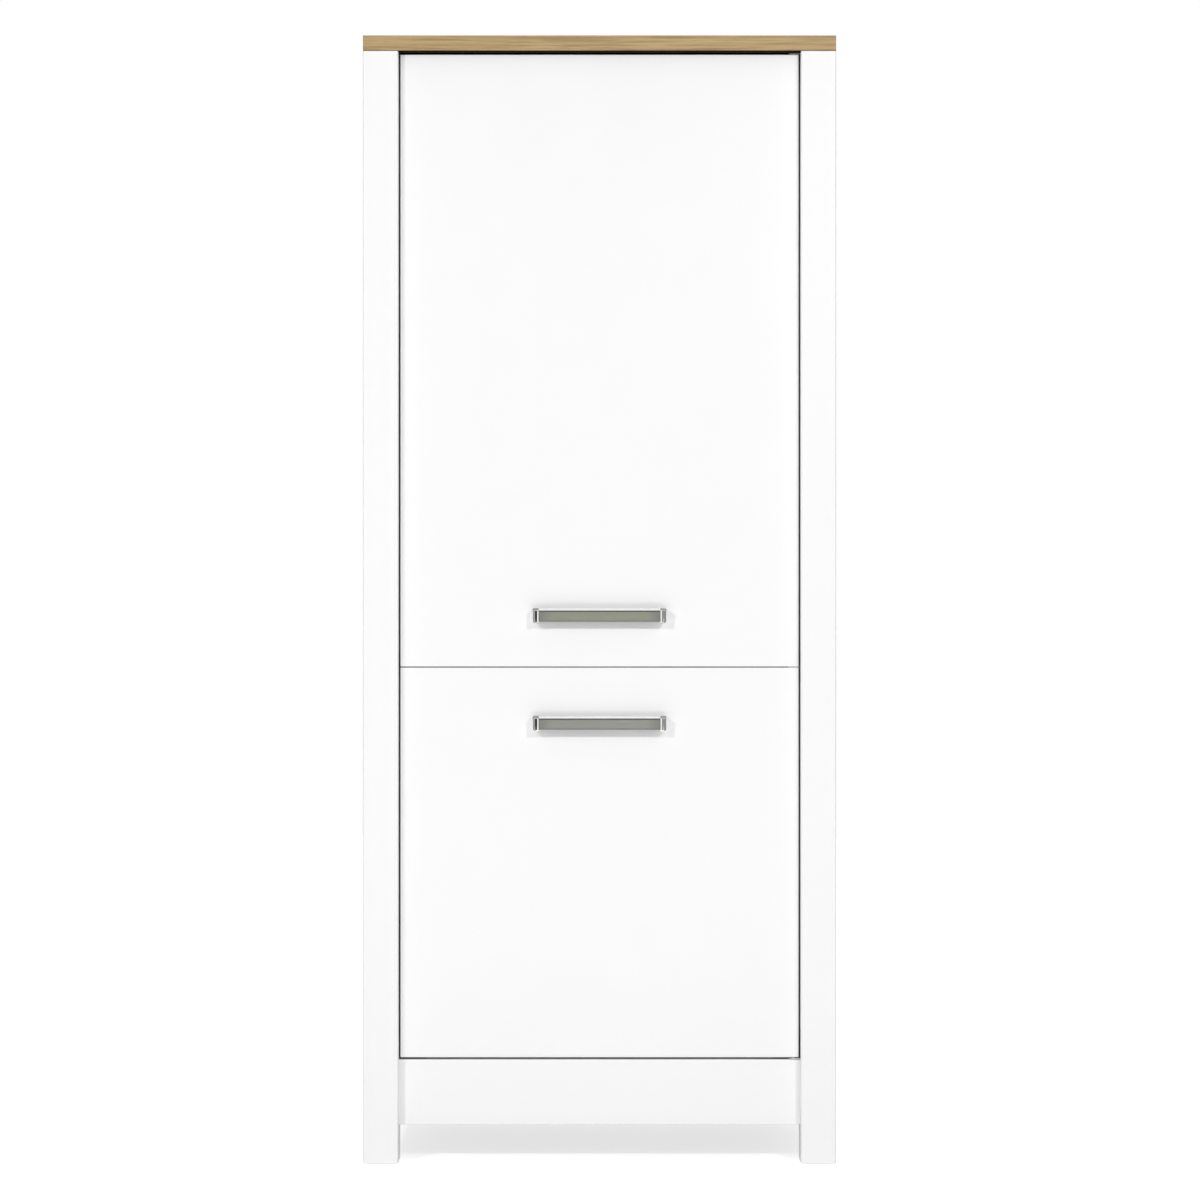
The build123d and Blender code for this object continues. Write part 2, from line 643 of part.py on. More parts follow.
# Pivot leaves: bent steel plates let into the post, each with a pin on which a door's end turns.
# The tongue that carries the pin is pressed thinner than the leg, to fit between the doors.
with BuildPart() as pivot_leaves:
    for level_low, low, high in leaf_levels():
        with BuildSketch(Plane.XY.offset(level_low)):
            with Locations((post_inner - leaf_long / 2, pivot_y)):
                Rectangle(leaf_long, leaf_wide)
            fillet(vertices().group_by(Axis.X)[0], leaf_round)
        extrude(amount=tongue_thick)
        slab((post_inner, post_inner + leaf_thick), (pivot_y - leaf_wide / 2, pivot_y + leaf_wide / 2),
             (low, high))
        drill([(pivot_x, pivot_y, level_low - overrun)], Z_UP, pin_radius + running_gap,
              tongue_thick + 2 * overrun)
    countersink(leaf_screw_points(), X_OUT, small_screw_radius, leaf_thick + overrun,
                small_head_radius, small_head_high - fit_gap)
finish(pivot_leaves, "pivot_leaves")

with BuildPart() as pivot_pins:
    for index, (level_low, _, _) in enumerate(leaf_levels()):
        down = pin_reach if index > 0 else 0
        up = pin_reach if index < 2 else 0
        with Locations((pivot_x, pivot_y, level_low - down)):
            Cylinder(pin_radius, down + tongue_thick + up, align=(Align.CENTER, Align.CENTER, Align.MIN))
finish(pivot_pins, "pivot_pins")

# Magnetic catches on the left side of the carcass, one for each door.
with BuildPart() as catch_housings:
    for z in catch_heights:
        slab((-side_inner, catch_wide - side_inner), (carcass_front, carcass_front + catch_deep),
             (z - catch_high / 2, z + catch_high / 2))
        slab((-catch_middle - magnet_wide / 2 - fit_gap, magnet_wide / 2 - catch_middle + fit_gap),
             (carcass_front - overrun, carcass_front + magnet_deep + fit_gap),
             (z - magnet_high / 2 - fit_gap, z + magnet_high / 2 + fit_gap), Mode.SUBTRACT)
    countersink(catch_screw_points(), (-1, 0, 0), small_screw_radius, catch_wide + overrun,
                small_head_radius, small_head_high)
finish(catch_housings, "catch_housings")

with BuildPart() as catch_magnets:
    for z in catch_heights:
        slab((-catch_middle - magnet_wide / 2, magnet_wide / 2 - catch_middle),
             (carcass_front, carcass_front + magnet_deep), (z - magnet_high / 2, z + magnet_high / 2))
finish(catch_magnets, "catch_magnets")

# Wall bracket, an angle under the rear top rail that keeps the cabinet from tipping.
with BuildPart() as wall_bracket:
    half = wall_bracket_wide / 2
    slab((-half, half), (post_back - wall_bracket_deep, post_back), (rail_low - bracket_thick, rail_low))
    slab((-half, half), (post_back - bracket_thick, post_back), (rail_low - wall_bracket_high, rail_low))
    drill([(0, post_back - bracket_thick - overrun, rail_low - wall_hole_drop)], Y_BACK,
          wall_hole_radius, bracket_thick + 2 * overrun)
    countersink(wall_screw_points, Z_UP, small_screw_radius, bracket_thick + overrun,
                small_head_radius, small_head_high)
finish(wall_bracket, "wall_bracket")

# Cam locks and their bolts, which draw the floor and the appliance shelf to the sides.
with BuildPart() as cam_locks:
    lock_points = [(hand * (side_inner - cam_setback), y, low) for hand in hands for y, low in cam_rows]
    with Locations(*seats(lock_points, Z_UP)):
        Cylinder(cam_radius, cam_high, align=(Align.CENTER, Align.CENTER, Align.MIN))
        for wide, tall in ((cam_radius, cam_slot_wide), (cam_slot_wide, cam_radius)):
            Box(wide, tall, cam_slot_deep, mode=Mode.SUBTRACT,
                align=(Align.CENTER, Align.CENTER, Align.MIN))
    for hand in hands:
        drill([(hand * side_inner, y, low + board_thick / 2) for y, low in cam_rows], (-hand, 0, 0),
              cam_bolt_radius + fit_gap, cam_setback + cam_bolt_past + fit_gap)
finish(cam_locks, "cam_locks")

with BuildPart() as cam_bolts:
    for hand in hands:
        bolt_points = [(hand * (side_inner + cam_bolt_in), y, low + board_thick / 2) for y, low in cam_rows]
        with Locations(*seats(bolt_points, (-hand, 0, 0))):
            Cylinder(cam_bolt_radius, cam_bolt_in + cam_setback + cam_bolt_past,
                     align=(Align.CENTER, Align.CENTER, Align.MIN))
finish(cam_bolts, "cam_bolts")

# Dowels of all joints.
with BuildPart() as dowels:
    for hand in hands:
        for points, direction in (
                ([(hand * (side_inner + dowel_reach), y, z) for y, z in side_dowels], (-hand, 0, 0)),
                ([(hand * cheek_middle, front_post_back - dowel_reach, z)
                  for z in cheek_dowel_heights], Y_BACK),
                ([(hand * cheek_middle, rear_post_front + dowel_reach, z)
                  for z in cheek_dowel_heights], Y_FRONT),
                ([(x, y, z + dowel_reach) for x, y, z in post_top_dowels() if x * hand > 0], Z_DOWN)):
            with Locations(*seats(points, direction)):
                Cylinder(dowel_radius, dowel_long, align=(Align.CENTER, Align.CENTER, Align.MIN))
finish(dowels, "dowels")

# Screws.
screws("post_screws", [([(hand * side_inner, y, z) for y, z in post_screw_rows], (hand, 0, 0),
                        screw_radius, post_screw_long, screw_head_radius, screw_head_high)
                       for hand in hands])
screws("rail_screws", [([(hand * post_inner, y, z) for y, z in rail_screw_rows], (-hand, 0, 0),
                        screw_radius, rail_screw_long, screw_head_radius, screw_head_high)
                       for hand in hands])
screws("top_screws", [(top_screw_points(), Z_UP, screw_radius, top_screw_long,
                       screw_head_radius, screw_head_high)])
screws("back_panel_screws", [(back_screw_points(), Y_FRONT, small_screw_radius, small_screw_long,
                              small_head_radius, small_head_high)])
screws("plinth_screws", [(points, direction, small_screw_radius, small_screw_long,
                          small_head_radius, small_head_high)
                         for hand in hands for points, direction
                         in zip(plinth_bracket_screws(hand), (Y_FRONT, (hand, 0, 0)))])
screws("pivot_screws", [(leaf_screw_points(), X_OUT, small_screw_radius, pivot_screw_long,
                         small_head_radius, small_head_high - fit_gap)])
screws("catch_screws", [(catch_screw_points(), (-1, 0, 0), small_screw_radius, catch_screw_long,
                         small_head_radius, small_head_high)])
screws("wall_bracket_screws", [(wall_screw_points, Z_UP, small_screw_radius, small_screw_long,
                                small_head_radius, small_head_high)])
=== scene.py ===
import bpy
from math import cos, radians, sin, tan
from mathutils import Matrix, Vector


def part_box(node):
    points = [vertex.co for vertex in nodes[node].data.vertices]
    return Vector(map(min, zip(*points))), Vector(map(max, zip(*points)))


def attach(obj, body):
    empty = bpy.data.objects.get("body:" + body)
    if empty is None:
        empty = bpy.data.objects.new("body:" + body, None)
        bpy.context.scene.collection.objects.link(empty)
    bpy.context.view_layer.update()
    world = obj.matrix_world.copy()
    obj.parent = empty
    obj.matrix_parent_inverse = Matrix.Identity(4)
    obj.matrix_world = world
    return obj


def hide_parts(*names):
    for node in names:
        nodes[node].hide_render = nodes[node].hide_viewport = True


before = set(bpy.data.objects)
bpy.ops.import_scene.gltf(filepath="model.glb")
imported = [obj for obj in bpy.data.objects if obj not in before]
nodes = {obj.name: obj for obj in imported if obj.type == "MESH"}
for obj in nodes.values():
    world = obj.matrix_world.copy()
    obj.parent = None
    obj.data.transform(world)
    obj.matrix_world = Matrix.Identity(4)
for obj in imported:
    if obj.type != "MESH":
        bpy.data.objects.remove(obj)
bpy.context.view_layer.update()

# Corner posts.
# Four square posts of fibreboard carry the cabinet. They are sprayed with satin white lacquer
# on all sides, and the film has the faint orange peel that spraying leaves.
LACQUER_WHITE = (0.90, 0.898, 0.897, 1)
LACQUER_SHADE = (0.888, 0.886, 0.885, 1)
POST_GLOSS = 0.32
GLOSS_SPREAD = 0.07
SHADE_DRIFT = 4.0
GLOSS_DRIFT = 14.0
COARSE_PEEL, COARSE_HIGH = 420.0, 0.000012
FINE_PEEL, FINE_HIGH = 2400.0, 0.000002


def new_finish(name):
    """Starts a node material and gives it with its node tree and its shader."""
    finish = bpy.data.materials.new(name)
    finish.use_nodes = True
    tree = finish.node_tree
    return finish, tree, tree.nodes["Principled BSDF"]


def placed(tree, stretch=(1, 1, 1)):
    """Object coordinates, stretched along X, Y and Z where a pattern runs one way."""
    where = tree.nodes.new("ShaderNodeTexCoord")
    scale = tree.nodes.new("ShaderNodeMapping")
    scale.inputs["Scale"].default_value = stretch
    tree.links.new(where.outputs["Object"], scale.inputs["Vector"])
    return scale.outputs["Vector"]


def cloud(tree, vector, size, detail=3.0, rough=0.5):
    """A noise pattern on the given coordinates. Size is how many times it repeats in a metre."""
    noise = tree.nodes.new("ShaderNodeTexNoise")
    noise.inputs["Scale"].default_value = size
    noise.inputs["Detail"].default_value = detail
    noise.inputs["Roughness"].default_value = rough
    tree.links.new(vector, noise.inputs["Vector"])
    return noise.outputs["Fac"]


def between(tree, pattern, low, high, first=0.3, last=0.7):
    """Turns a pattern's values from first to last into numbers from low to high."""
    spread = tree.nodes.new("ShaderNodeMapRange")
    spread.inputs["From Min"].default_value = first
    spread.inputs["From Max"].default_value = last
    spread.inputs["To Min"].default_value = low
    spread.inputs["To Max"].default_value = high
    tree.links.new(pattern, spread.inputs["Value"])
    return spread.outputs["Result"]


def tinted(tree, pattern, dark, light):
    """Blends two colours by a pattern from 0 to 1. Either may be the result of another blend."""
    blend = tree.nodes.new("ShaderNodeMix")
    blend.data_type = "RGBA"
    tree.links.new(pattern, blend.inputs["Factor"])
    for socket, colour in (("A_Color", dark), ("B_Color", light)):
        chosen = next(s for s in blend.inputs if s.identifier == socket)
        if isinstance(colour, tuple):
            chosen.default_value = colour
        else:
            tree.links.new(colour, chosen)
    return next(s for s in blend.outputs if s.identifier == "Result_Color")


def surfaced(tree, shader, colour, rough, *reliefs):
    """Feeds a shader its colour, its roughness and bumps, each a pattern and a height in metres."""
    tree.links.new(colour, shader.inputs["Base Color"])
    tree.links.new(rough, shader.inputs["Roughness"])
    last = None
    for pattern, height in reliefs:
        bump = tree.nodes.new("ShaderNodeBump")
        bump.inputs["Distance"].default_value = height
        tree.links.new(pattern, bump.inputs["Height"])
        if last:
            tree.links.new(last, bump.inputs["Normal"])
        last = bump.outputs["Normal"]
    if last:
        tree.links.new(last, shader.inputs["Normal"])


def sprayed(name, white, shade, gloss):
    """Satin lacquer: a nearly even white, fine orange peel and a gloss that drifts a little."""
    finish, tree, shader = new_finish(name)
    even = placed(tree)
    surfaced(tree, shader,
             tinted(tree, cloud(tree, even, SHADE_DRIFT, detail=2.0), shade, white),
             between(tree, cloud(tree, even, GLOSS_DRIFT), gloss, gloss + GLOSS_SPREAD),
             (cloud(tree, even, COARSE_PEEL, detail=1.0), COARSE_HIGH),
             (cloud(tree, even, FINE_PEEL, detail=1.0), FINE_HIGH))
    return finish


def wear(node, finish):
    """Gives a CAD node one material all over."""
    slots = nodes[node].data.materials
    slots.clear()
    slots.append(finish)


post_lacquer = sprayed("post lacquer", LACQUER_WHITE, LACQUER_SHADE, POST_GLOSS)
for post in ("left_front_post", "right_front_post", "left_rear_post", "right_rear_post"):
    wear(post, post_lacquer)

# Glides under the posts.
# Grey moulded nylon discs, each with a steel nail, hammered into the foot of a post so that the
# cabinet slides on a floor without scratching it.
GLIDE_GREY = (0.13, 0.13, 0.13, 1)
GLIDE_LIGHT = (0.17, 0.17, 0.17, 1)
GLIDE_GLOSS = 0.45
MOULD_SPREAD = 0.12
MOULD_TINT_DRIFT = 60.0
MOULD_GLOSS_DRIFT = 90.0
MOULD_GRAIN, MOULD_GRAIN_HIGH = 1500.0, 0.00003


def moulded(name, dark, light, gloss, grain=MOULD_GRAIN, relief=MOULD_GRAIN_HIGH):
    """Moulded plastic: a fine erosion grain from the tool and a slightly cloudy colour."""
    finish, tree, shader = new_finish(name)
    even = placed(tree)
    surfaced(tree, shader,
             tinted(tree, cloud(tree, even, MOULD_TINT_DRIFT), dark, light),
             between(tree, cloud(tree, even, MOULD_GLOSS_DRIFT), gloss, gloss + MOULD_SPREAD),
             (cloud(tree, even, grain), relief))
    return finish


wear("post_glides", moulded("glide plastic", GLIDE_GREY, GLIDE_LIGHT, GLIDE_GLOSS))

# Cheeks and plinth board.
# Plain boards in the same lacquer as the posts. The cheeks close the sides between the posts, and
# the plinth board closes the foot of the front under the doors.
for board in ("left_cheek_panel", "right_cheek_panel", "plinth_board"):
    wear(board, post_lacquer)

# Carcass.
# Chipboard faced on both sides with a graphite resin film, whose fine pearl texture hides
# scratches. The boards are joined by dowels and cam locks, and carry the shelf on pins.
FILM_DARK = (0.030, 0.031, 0.033, 1)
FILM_LIGHT = (0.042, 0.043, 0.045, 1)
FILM_GLOSS = 0.42
FILM_SPREAD = 0.1
FILM_SHINE = 0.5
FILM_MOTTLE = 35.0
FILM_GLOSS_DRIFT = 50.0
PEARL, PEARL_HIGH = 1100.0, 0.00004


def faced(name, dark, light, gloss, shine=FILM_SHINE):
    """Resin film on chipboard: a faint mottle and the pearl texture of the press plate."""
    finish, tree, shader = new_finish(name)
    even = placed(tree)
    shader.inputs["Specular IOR Level"].default_value = shine
    surfaced(tree, shader,
             tinted(tree, cloud(tree, even, FILM_MOTTLE, detail=4.0, rough=0.6), dark, light),
             between(tree, cloud(tree, even, FILM_GLOSS_DRIFT), gloss, gloss + FILM_SPREAD),
             (cloud(tree, even, PEARL, detail=2.0), PEARL_HIGH))
    return finish


film = faced("carcass film", FILM_DARK, FILM_LIGHT, FILM_GLOSS)
for board in ("left_carcass_side", "right_carcass_side", "carcass_bottom", "appliance_shelf",
              "front_top_rail", "rear_top_rail", "niche_rear_rail", "adjustable_shelf"):
    wear(board, film)

# Back of the cupboard.
# Three millimetres of hardboard, painted graphite on the side that faces the shelves and left raw
# at the back, where the pulp keeps the weave of the screen it was pressed on.
RAW_BOARD = (0.21, 0.125, 0.062, 1)
RAW_FLECK = (0.30, 0.19, 0.10, 1)
RAW_GLOSS = 0.8
FLECKS, FLECKS_SEEN = 260.0, (0.5, 0.75)
PAINT_GLOSS = 0.45
PAINT_DEEP = 0.0002
WEAVE, WEAVE_HIGH = 500.0, 0.0002
WEAVE_UNEVEN = 0.15


def pressed(name):
    """Hardboard: a painted face, and brown pulp with light flecks and a screen's print behind."""
    finish, tree, shader = new_finish(name)
    even = placed(tree)
    fleck = between(tree, cloud(tree, even, FLECKS, detail=6.0, rough=0.7), 0, 1, *FLECKS_SEEN)
    parts = tree.nodes.new("ShaderNodeSeparateXYZ")
    tree.links.new(even, parts.inputs["Vector"])
    painted_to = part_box("lower_back_panel")[0].y + PAINT_DEEP
    behind = between(tree, parts.outputs["Y"], 0, 1, painted_to, painted_to + PAINT_DEEP)
    colour = tinted(tree, behind, FILM_DARK, tinted(tree, fleck, RAW_BOARD, RAW_FLECK))
    rough = between(tree, behind, PAINT_GLOSS, RAW_GLOSS, 0, 1)
    weave = tree.nodes.new("ShaderNodeTexVoronoi")
    weave.inputs["Scale"].default_value = WEAVE
    weave.inputs["Randomness"].default_value = WEAVE_UNEVEN
    tree.links.new(even, weave.inputs["Vector"])
    surfaced(tree, shader, colour, rough, (weave.outputs["Distance"], WEAVE_HIGH))
    return finish


wear("lower_back_panel", pressed("hardboard"))

# Top board.
# A thick oak-faced board that lies on the posts, flush with them at the front and the sides. Its
# edges are closed with glued-on strips that stop a little short of its underside. Its underside,
# the strips' undersides and its edge in the step below the strips are painted near-black as shade.
BAND_THICK = 0.0010
BAND_ROUND = 0.0004
# The strips stop this far above the underside. The board's edge in the step below them is painted
# dark as shade.
BAND_LIFT = 0.0008
PANEL_ROUND = 0.0004
EDGE_SEGMENTS = 3
FACES_DOWN = -0.9
OAK_LIGHT = (0.50, 0.350, 0.155, 1)
OAK_MIDDLE = (0.405, 0.275, 0.110, 1)
OAK_DARK = (0.285, 0.182, 0.068, 1)
OAK_PORE = (0.185, 0.110, 0.040, 1)
OAK_SPREAD = 0.14
TOP_GRAIN, TOP_GLOSS = (1.3, 30, 30), 0.38
BAND_GRAIN, BAND_GLOSS = (1.4, 34, 46), 0.40
RINGS, RINGS_SEEN = 1.0, (0.38, 0.62)
FIBRES, FIBRES_SEEN, FIBRES_HIGH = 7.0, (0.44, 0.66), 0.00006
PORES, PORES_SEEN, PORES_HIGH = 22.0, (0.60, 0.72), 0.00004
PORE_WEIGHT = 0.7
# Near-black painted shade for the top board's underside and for the step below its edge strips.
UNDERSIDE_SHADE_DARK = (0.005, 0.004, 0.003, 1)
UNDERSIDE_SHADE_LIGHT = (0.010, 0.008, 0.006, 1)
UNDERSIDE_SHADE_GLOSS = 0.85
UNDERSIDE_SHADE_SHINE = 0.04


def oak(name, stretch, gloss):
    """Oak with its grain along the axis that is stretched least: rings, fibres and short pores."""
    finish, tree, shader = new_finish(name)
    grain = placed(tree, stretch)
    rings = cloud(tree, grain, RINGS, detail=4.0, rough=0.6)
    fibres = cloud(tree, grain, FIBRES, detail=6.0, rough=0.65)
    pores = cloud(tree, grain, PORES, rough=0.7)
    figure = tinted(tree, between(tree, rings, 0, 1, *RINGS_SEEN), OAK_MIDDLE, OAK_LIGHT)
    lined = tinted(tree, between(tree, fibres, 0, 1, *FIBRES_SEEN), figure, OAK_DARK)
    surfaced(tree, shader,
             tinted(tree, between(tree, pores, 0, PORE_WEIGHT, *PORES_SEEN), lined, OAK_PORE),
             between(tree, fibres, gloss, gloss + OAK_SPREAD),
             (fibres, FIBRES_HIGH), (pores, PORES_HIGH))
    return finish


def block(name, low, high):
    """Adds a cube at a block's place and size."""
    bpy.ops.object.select_all(action="DESELECT")
    bpy.ops.mesh.primitive_cube_add(size=1, location=(low + high) / 2)
    piece = bpy.context.object
    piece.name = name
    piece.scale = high - low
    bpy.ops.object.transform_apply(location=True, rotation=True, scale=True)
    return piece


def rounded_board(name, low, high, radius, segments=EDGE_SEGMENTS):
    """Adds a board at its place and size and rounds all its edges."""
    board = block(name, low, high)
    soft = board.modifiers.new("rounded edges", "BEVEL")
    soft.width = radius
    soft.segments = segments
    soft.harden_normals = True
    bpy.ops.object.modifier_apply(modifier=soft.name)
    return board


def edit(piece, kind="FACE"):
    """Goes into edit mode on a piece, in face or edge mode, with nothing selected."""
    bpy.ops.object.select_all(action="DESELECT")
    piece.select_set(True)
    bpy.context.view_layer.objects.active = piece
    bpy.ops.object.mode_set(mode="EDIT")
    bpy.ops.mesh.select_mode(type=kind)
    bpy.ops.mesh.select_all(action="DESELECT")


def sliced(through, normal, cut_off=False):
    """In edit mode, cuts the mesh at a plane, and may take off what lies on its normal's side."""
    bpy.ops.mesh.select_all(action="SELECT")
    bpy.ops.mesh.bisect(plane_co=through, plane_no=normal, clear_outer=cut_off, use_fill=cut_off)


def belongs(piece, body, slot, finish, *stands_for):
    """Paints a new piece, and says which body carries it and which CAD nodes it stands for."""
    piece.data.materials.clear()
    piece.data.materials.append(finish)
    if stands_for:
        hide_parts(*stands_for)
    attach(piece, body)


def second_finish(piece, finish, wanted):
    """Gives one more finish to the faces whose middle and normal pass."""
    piece.data.materials.append(finish)
    last = len(piece.data.materials) - 1
    for face in piece.data.polygons:
        if wanted(face.center, face.normal):
            face.material_index = last


top_oak = oak("top oak", TOP_GRAIN, TOP_GLOSS)
band_oak = oak("edge strip oak", BAND_GRAIN, BAND_GLOSS)
# This dark finish is painted shade, for the underside and the step below the strips.
underside_shade = faced("painted underside shade", UNDERSIDE_SHADE_DARK, UNDERSIDE_SHADE_LIGHT, UNDERSIDE_SHADE_GLOSS, UNDERSIDE_SHADE_SHINE)
top_low, top_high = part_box("top_board")
band_foot = top_low.z + BAND_LIFT
inset = Vector((BAND_THICK, BAND_THICK, 0))
panel_low, panel_high = top_low + inset, top_high - inset
top_panel = rounded_board("top_panel", panel_low, panel_high, PANEL_ROUND)
edit(top_panel)
sliced((0, 0, band_foot), (0, 0, 1))
bpy.ops.object.mode_set(mode="OBJECT")
belongs(top_panel, "cabinet", "oak_board", top_oak, "top_board")
# Painted shade: the underside and the board's edge below the strips go near-black.
second_finish(top_panel, underside_shade, lambda middle, normal: middle.z < band_foot)
strips = {
    "front": ((top_low.x, top_low.y, band_foot), (top_high.x, panel_low.y, top_high.z)),
    "rear": ((top_low.x, panel_high.y, band_foot), top_high),
    "left": ((top_low.x, panel_low.y, band_foot), (panel_low.x, panel_high.y, top_high.z)),
    "right": ((panel_high.x, panel_low.y, band_foot), (top_high.x, panel_high.y, top_high.z)),
}
for side, (low, high) in strips.items():
    strip = rounded_board(f"top_edge_{side}", Vector(low), Vector(high), BAND_ROUND)
    belongs(strip, "cabinet", "oak_board", band_oak)
    # Painted shade on the strips' undersides.
    second_finish(strip, underside_shade, lambda middle, normal: normal.z < FACES_DOWN)

# Doors.
# One fibreboard each, its edges rounded by the router and sprayed in the posts' white, a touch
# glossier. Head and foot are bored for the pivot bushes, the back for the handle's screw heads.
DOOR_GLOSS = 0.29
DOOR_ROUND = 0.0012
DOOR_SEGMENTS = 6
DOOR_SHARP = 25.0
BORE_SLACK = 0.0001
BORE_SIDES = 48
BUSH_LONG = 0.014
HEAD_DEEP = 0.0027
FULL_WEIGHT = 100


def bore(board, name, low, high, axis, radius):
    """Cuts a round hole through the box from low to high along an axis out of a board."""
    bpy.ops.object.select_all(action="DESELECT")
    turn = {"Y": (radians(90), 0, 0), "Z": (0, 0, 0)}[axis]
    depth = high.y - low.y if axis == "Y" else high.z - low.z
    bpy.ops.mesh.primitive_cylinder_add(vertices=BORE_SIDES, radius=radius, depth=depth,
                                        location=(low + high) / 2, rotation=turn)
    drill = bpy.context.object
    bpy.ops.object.select_all(action="DESELECT")
    board.select_set(True)
    bpy.context.view_layer.objects.active = board
    cut = board.modifiers.new(name, "BOOLEAN")
    cut.operation = "DIFFERENCE"
    cut.object = drill
    cut.solver = "EXACT"
    bpy.ops.object.modifier_apply(modifier=cut.name)
    bpy.data.objects.remove(drill)


def smoothed(piece, sharpest):
    """Smooths edges up to an angle in degrees, and keeps the wide flat faces flat."""
    bpy.ops.object.shade_smooth_by_angle(angle=radians(sharpest))
    flat = piece.modifiers.new("flat faces", "WEIGHTED_NORMAL")
    flat.weight = FULL_WEIGHT
    flat.keep_sharp = True
    bpy.ops.object.modifier_apply(modifier=flat.name)


door_lacquer = sprayed("door lacquer", LACQUER_WHITE, LACQUER_SHADE, DOOR_GLOSS)
for level in ("upper", "lower"):
    low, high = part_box(f"{level}_door")
    door = rounded_board(f"{level}_door_board", low, high, DOOR_ROUND, DOOR_SEGMENTS)
    bush_low, bush_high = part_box(f"{level}_pivot_bushes")
    bush_radius = (bush_high.x - bush_low.x) / 2 + BORE_SLACK
    for end, height in (("foot", bush_low.z), ("head", bush_high.z)):
        bore(door, f"{end} bush", Vector((bush_low.x, bush_low.y, height - BUSH_LONG)),
             Vector((bush_high.x, bush_high.y, height + BUSH_LONG)), "Z", bush_radius)
    screw_low, screw_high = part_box(f"{level}_handle_screws")
    head_radius = (screw_high.z - screw_low.z) / 2
    deep = Vector((0, HEAD_DEEP, 0))
    for centre in (screw_low.x + head_radius, screw_high.x - head_radius):
        middle = Vector((centre, high.y, (screw_low.z + screw_high.z) / 2))
        bore(door, "handle screw", middle - deep, middle + deep, "Y", head_radius + BORE_SLACK)
    smoothed(door, DOOR_SHARP)
    belongs(door, f"{level}_door", "door_lacquer", door_lacquer, f"{level}_door")

# Handles.
# A flat bar of dark satin steel with a polished upper lip and a brushed plate let into its front,
# held at each end by a cast, chromed bracket with a satin cap, screwed on through the door. The
# bar's dark tone also paints shade on its foot band, the groove round the plate is painted darker
# as shade, and the plate has a painted olive reflection in the middle and painted shade at its
# ends.
LENGTHWISE = (1, 60, 60)
BRUSH_LINES, BRUSH_HIGH = 40.0, 0.00001
BRUSH_SPREAD = 0.15
# The body's dark satin tone is partly painted shade: it darkens the narrow foot band below the
# groove.
BODY_AND_SHADE_DARK = (0.16, 0.16, 0.15, 1)
BODY_AND_SHADE_LIGHT = (0.21, 0.21, 0.20, 1)
BODY_GLOSS = 0.32
# The groove behind the plate is painted darker than the body, as shade in the recess.
GROOVE_SHADE_DARK = (0.075, 0.075, 0.07, 1)
GROOVE_SHADE_LIGHT = (0.11, 0.11, 0.10, 1)
GROOVE_GLOSS = 0.45
# Painted reflection: the plate's olive middle tints, which differ between the upper and the lower
# bar.
PLATE_REFLECTION_TINTS = {"upper": ((0.177, 0.182, 0.141, 1), (0.219, 0.226, 0.177, 1)),
               "lower": ((0.176, 0.175, 0.160, 1), (0.219, 0.218, 0.200, 1))}
# Painted shade: the greyer, darker tone towards the plate's ends.
PLATE_END_SHADE_DARK = (0.143, 0.146, 0.134, 1)
PLATE_END_SHADE_LIGHT = (0.180, 0.183, 0.169, 1)
PLATE_GLOSS, PLATE_DULL = 0.30, 0.42
PLATE_SHADE_FADE = 0.018
CHROME = (0.92, 0.92, 0.92, 1)
CHROME_DIM = (0.85, 0.85, 0.86, 1)
CHROME_GLOSS = 0.03
CHROME_SPREAD = 0.04
CHROME_CLOUDS = 70.0
CAP_DARK = (0.25, 0.25, 0.25, 1)
CAP_LIGHT = (0.36, 0.36, 0.36, 1)
CAP_GLOSS = 0.30
CAP_GRAIN = (3, 3, 3)
END_WIDE = 0.0095
LIP_ROUND = 0.0034
LIP_SEGMENTS = 8
BAR_ROUND = 0.0003
BAR_SEGMENTS = 2
BAR_FOOT = 0.0018
GROOVE_HIGH = 0.0021
RECESS_DEEP = 0.0012
SEAM = 0.0006
FACES_FRONT = -0.99
PLATE_THICK = 0.0010
PLATE_CLEAR = 0.0001
PLATE_SHORT = 0.0007
PLATE_ROUND = 0.0002
CAP_HIGH = 0.0037
CAP_LOWER = 0.0008
CAP_INSET = 0.0005
CAP_ROUND = 0.0018
CAP_SEGMENTS = 4
CAP_OVERLAP = 0.0002
LEG_INSET = 0.0008
LEG_DROP = 0.0019
LEG_CORNER = 0.0038
LEG_ROUND = 0.0003
LEG_SEGMENTS = 3
LEG_RIM, RIM_SLOPE = 0.0018, 45.0
RIB_WIDE = 0.0021
FACET_WIDE, FACET_SLOPE = 0.0032, 20.0
FLANK_SLOPE = 40.0
STILL_SHARP = 30.0
SHARP = 17.0
SAME = 0.00001


def brushed(name, dark, light, stretch, gloss):
    """Satin steel: fine scratches along the bar that vary its colour, its gloss and its surface."""
    finish, tree, shader = new_finish(name)
    scratch = cloud(tree, placed(tree, stretch), BRUSH_LINES, detail=5.0, rough=0.7)
    shader.inputs["Metallic"].default_value = 1.0
    surfaced(tree, shader, tinted(tree, between(tree, scratch, 0, 1), dark, light),
             between(tree, scratch, gloss, gloss + BRUSH_SPREAD), (scratch, BRUSH_HIGH))
    return finish


def plated(name, dim, bright, gloss):
    """Chrome on a casting: bright, with faint clouds where fingers touch it."""
    finish, tree, shader = new_finish(name)
    touch = cloud(tree, placed(tree), CHROME_CLOUDS, detail=4.0, rough=0.6)
    shader.inputs["Metallic"].default_value = 1.0
    surfaced(tree, shader, tinted(tree, between(tree, touch, 0, 1), dim, bright),
             between(tree, touch, gloss, gloss + CHROME_SPREAD))
    return finish


